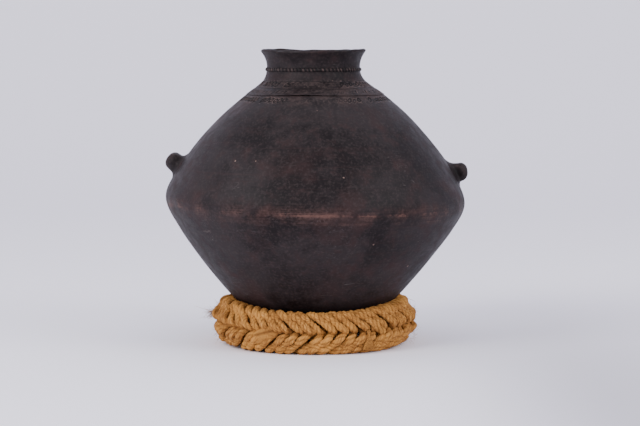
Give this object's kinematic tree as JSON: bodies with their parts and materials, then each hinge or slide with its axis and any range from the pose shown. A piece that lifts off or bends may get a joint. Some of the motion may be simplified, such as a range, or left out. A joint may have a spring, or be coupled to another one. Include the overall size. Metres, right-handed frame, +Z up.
{
  "type": "pottery jar",
  "caption": "Round-based burnished pottery jar with a wide belly, short flared neck and two small ears, standing in a ring of plaited rope.",
  "frame": {"origin": "on the table, under the middle of the rope ring", "axes": "+Z up through the mouth; +X through the right ear; -Y towards the viewer of the picture; -Z out of the flat of the ring's foot"},
  "size_m": [0.284, 0.2806, 0.2756],
  "materials": {
    "burnished_clay": "burnished dark brown-grey clay, satin",
    "worn_clay": "rubbed dark clay, matte",
    "plaited_rope": "twisted golden plant fibre, matte"
  },
  "bodies": {
    "ring": {"strand_1_rope_1": "plaited_rope", "strand_1_rope_2": "plaited_rope", "strand_1_rope_3": "plaited_rope", "strand_2_rope_1": "plaited_rope", "strand_2_rope_2": "plaited_rope", "strand_2_rope_3": "plaited_rope", "strand_3_rope_1": "plaited_rope", "strand_3_rope_2": "plaited_rope", "strand_3_rope_3": "plaited_rope"},
    "jar": {"jar_base": "burnished_clay", "lower_wall": "burnished_clay", "belly_band": "burnished_clay", "upper_wall": "burnished_clay", "shoulder_collar": "burnished_clay", "neck": "burnished_clay", "neck_cordon": "worn_clay", "lug_left": "burnished_clay", "lug_right": "burnished_clay"}
  },
  "joints": [
    {"name": "jar_lift", "type": "slide", "parent": "ring", "child": "jar", "axis": [0, 0, 1], "range_m": [0, 0.08]}
  ]
}
